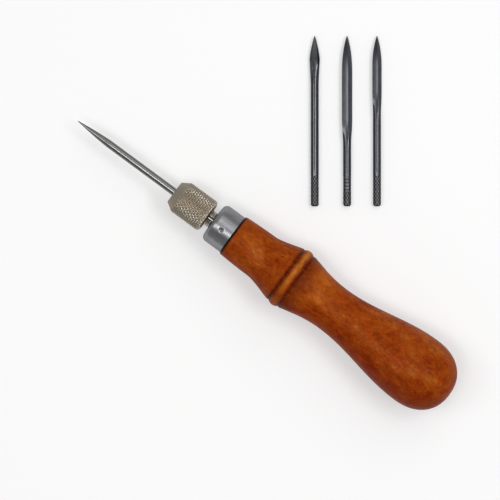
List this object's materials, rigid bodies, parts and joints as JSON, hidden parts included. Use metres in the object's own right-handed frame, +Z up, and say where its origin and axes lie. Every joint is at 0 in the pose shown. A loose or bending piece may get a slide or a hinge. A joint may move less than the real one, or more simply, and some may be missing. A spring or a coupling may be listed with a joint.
{
  "type": "bradawl",
  "caption": "Awl with a turned wooden haft, steel ferrule and knurled collet chuck that grips a round point, with loose spear and diamond points lying beside it.",
  "frame": {"origin": "on the tool's axis at the ferrule's rear edge, where the wood's shoulder begins", "axes": "+X along the tool towards its point, +Y to the left seen from above, +Z up from the bench that the tool lies on"},
  "size_m": [0.1846, 0.1134, 0.0294],
  "materials": {
    "stained_wood": "stained reddish brown, varnished, flecked grain",
    "ferrule_steel": "drawn steel, satin",
    "brad_steel": "dull dark steel",
    "stem_steel": "turned and threaded steel",
    "collet_steel": "turned steel",
    "nut_nickel": "nickel plated, diamond knurl",
    "bright_steel": "polished steel",
    "dark_steel": "ground and blackened steel"
  },
  "bodies": {
    "haft": {"handle": "stained_wood", "ferrule": "ferrule_steel", "ferrule_pin": "brad_steel", "chuck_stem": "stem_steel"},
    "collet": {"collet": "collet_steel"},
    "nut": {"chuck_nut": "nut_nickel"},
    "mounted_point": {"round_point": "bright_steel"},
    "loose_spear": {"spear_point": "dark_steel"},
    "loose_long_diamond": {"long_diamond_point": "dark_steel"},
    "loose_short_diamond": {"short_diamond_point": "dark_steel"}
  },
  "joints": [
    {"name": "collet_slide", "type": "slide", "parent": "haft", "child": "collet", "axis": [0.9997, 0, -0.0251], "range_m": [0, 0.00801]},
    {"name": "nut_turn", "type": "hinge", "parent": "collet", "child": "nut", "pos_m": [0, 0, 0], "axis": [0.9997, 0, -0.0251], "range_deg": [0, 2880]},
    {"name": "point_slide", "type": "slide", "parent": "haft", "child": "mounted_point", "axis": [0.9997, 0, -0.0251], "range_m": [0, 0.03]},
    {"name": "spear_lift", "type": "slide", "parent": "haft", "child": "loose_spear", "axis": [0, 0, 1], "range_m": [0, 0.05]},
    {"name": "long_diamond_lift", "type": "slide", "parent": "haft", "child": "loose_long_diamond", "axis": [0, 0, 1], "range_m": [0, 0.05]},
    {"name": "short_diamond_lift", "type": "slide", "parent": "haft", "child": "loose_short_diamond", "axis": [0, 0, 1], "range_m": [0, 0.05]}
  ],
  "couplings": [
    {"joint": "collet_slide", "follows": "nut_turn", "m_per_rad": 0.00015915}
  ]
}
